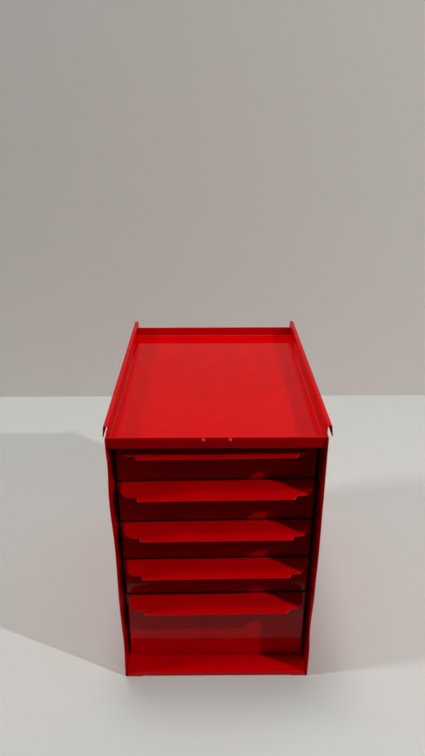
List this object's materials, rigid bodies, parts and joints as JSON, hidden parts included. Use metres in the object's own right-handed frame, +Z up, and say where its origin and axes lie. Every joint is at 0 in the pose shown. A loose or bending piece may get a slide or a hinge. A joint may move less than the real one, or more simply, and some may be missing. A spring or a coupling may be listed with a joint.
{
  "type": "hang-on side cabinet with drawers",
  "caption": "Red sheet-steel side cabinet for a tool chest, with an open top tray, full-width drawer pulls, ball slides and hooks along both sides.",
  "frame": {"origin": "middle of the footprint, on the surface the cabinet stands on", "axes": "+X to the right seen from the front, +Y to the back, +Z up; the drawers pull out towards -Y"},
  "size_m": [0.227, 0.308, 0.3365],
  "materials": {
    "red_gloss_paint": "gloss red powder coat",
    "rivet_paint": "gloss red powder coat over a domed rivet",
    "slide_zinc": "bright zinc plate",
    "cage_steel": "plain rolled strip"
  },
  "bodies": {
    "case": {"left_side_panel": "red_gloss_paint", "right_side_panel": "red_gloss_paint", "back_panel": "red_gloss_paint", "floor_pan": "red_gloss_paint", "top_tray": "red_gloss_paint", "tray_rivets": "rivet_paint", "slide_channel_left_1": "slide_zinc", "slide_channel_right_1": "slide_zinc", "slide_channel_left_2": "slide_zinc", "slide_channel_right_2": "slide_zinc", "slide_channel_left_3": "slide_zinc", "slide_channel_right_3": "slide_zinc", "slide_channel_left_4": "slide_zinc", "slide_channel_right_4": "slide_zinc", "slide_channel_left_5": "slide_zinc", "slide_channel_right_5": "slide_zinc"},
    "drawer_1": {"drawer_front_1": "red_gloss_paint", "drawer_pan_1": "red_gloss_paint", "slide_rail_left_1": "slide_zinc", "slide_rail_right_1": "slide_zinc"},
    "drawer_2": {"drawer_front_2": "red_gloss_paint", "drawer_pan_2": "red_gloss_paint", "slide_rail_left_2": "slide_zinc", "slide_rail_right_2": "slide_zinc"},
    "drawer_3": {"drawer_front_3": "red_gloss_paint", "drawer_pan_3": "red_gloss_paint", "slide_rail_left_3": "slide_zinc", "slide_rail_right_3": "slide_zinc"},
    "drawer_4": {"drawer_front_4": "red_gloss_paint", "drawer_pan_4": "red_gloss_paint", "slide_rail_left_4": "slide_zinc", "slide_rail_right_4": "slide_zinc"},
    "drawer_5": {"drawer_front_5": "red_gloss_paint", "drawer_pan_5": "red_gloss_paint", "slide_rail_left_5": "slide_zinc", "slide_rail_right_5": "slide_zinc"},
    "cages_1": {"ball_cage_left_1": "cage_steel", "ball_cage_right_1": "cage_steel"},
    "cages_2": {"ball_cage_left_2": "cage_steel", "ball_cage_right_2": "cage_steel"},
    "cages_3": {"ball_cage_left_3": "cage_steel", "ball_cage_right_3": "cage_steel"},
    "cages_4": {"ball_cage_left_4": "cage_steel", "ball_cage_right_4": "cage_steel"},
    "cages_5": {"ball_cage_left_5": "cage_steel", "ball_cage_right_5": "cage_steel"}
  },
  "joints": [
    {"name": "drawer_1_slide", "type": "slide", "parent": "case", "child": "drawer_1", "axis": [0, -1, 0], "range_m": [0, 0.185]},
    {"name": "drawer_2_slide", "type": "slide", "parent": "case", "child": "drawer_2", "axis": [0, -1, 0], "range_m": [0, 0.185]},
    {"name": "drawer_3_slide", "type": "slide", "parent": "case", "child": "drawer_3", "axis": [0, -1, 0], "range_m": [0, 0.185]},
    {"name": "drawer_4_slide", "type": "slide", "parent": "case", "child": "drawer_4", "axis": [0, -1, 0], "range_m": [0, 0.185]},
    {"name": "drawer_5_slide", "type": "slide", "parent": "case", "child": "drawer_5", "axis": [0, -1, 0], "range_m": [0, 0.185]},
    {"name": "cages_1_slide", "type": "slide", "parent": "case", "child": "cages_1", "axis": [0, -1, 0], "range_m": [0, 0.0925]},
    {"name": "cages_2_slide", "type": "slide", "parent": "case", "child": "cages_2", "axis": [0, -1, 0], "range_m": [0, 0.0925]},
    {"name": "cages_3_slide", "type": "slide", "parent": "case", "child": "cages_3", "axis": [0, -1, 0], "range_m": [0, 0.0925]},
    {"name": "cages_4_slide", "type": "slide", "parent": "case", "child": "cages_4", "axis": [0, -1, 0], "range_m": [0, 0.0925]},
    {"name": "cages_5_slide", "type": "slide", "parent": "case", "child": "cages_5", "axis": [0, -1, 0], "range_m": [0, 0.0925]}
  ],
  "couplings": [
    {"joint": "cages_1_slide", "follows": "drawer_1_slide", "ratio": 0.5},
    {"joint": "cages_2_slide", "follows": "drawer_2_slide", "ratio": 0.5},
    {"joint": "cages_3_slide", "follows": "drawer_3_slide", "ratio": 0.5},
    {"joint": "cages_4_slide", "follows": "drawer_4_slide", "ratio": 0.5},
    {"joint": "cages_5_slide", "follows": "drawer_5_slide", "ratio": 0.5}
  ]
}
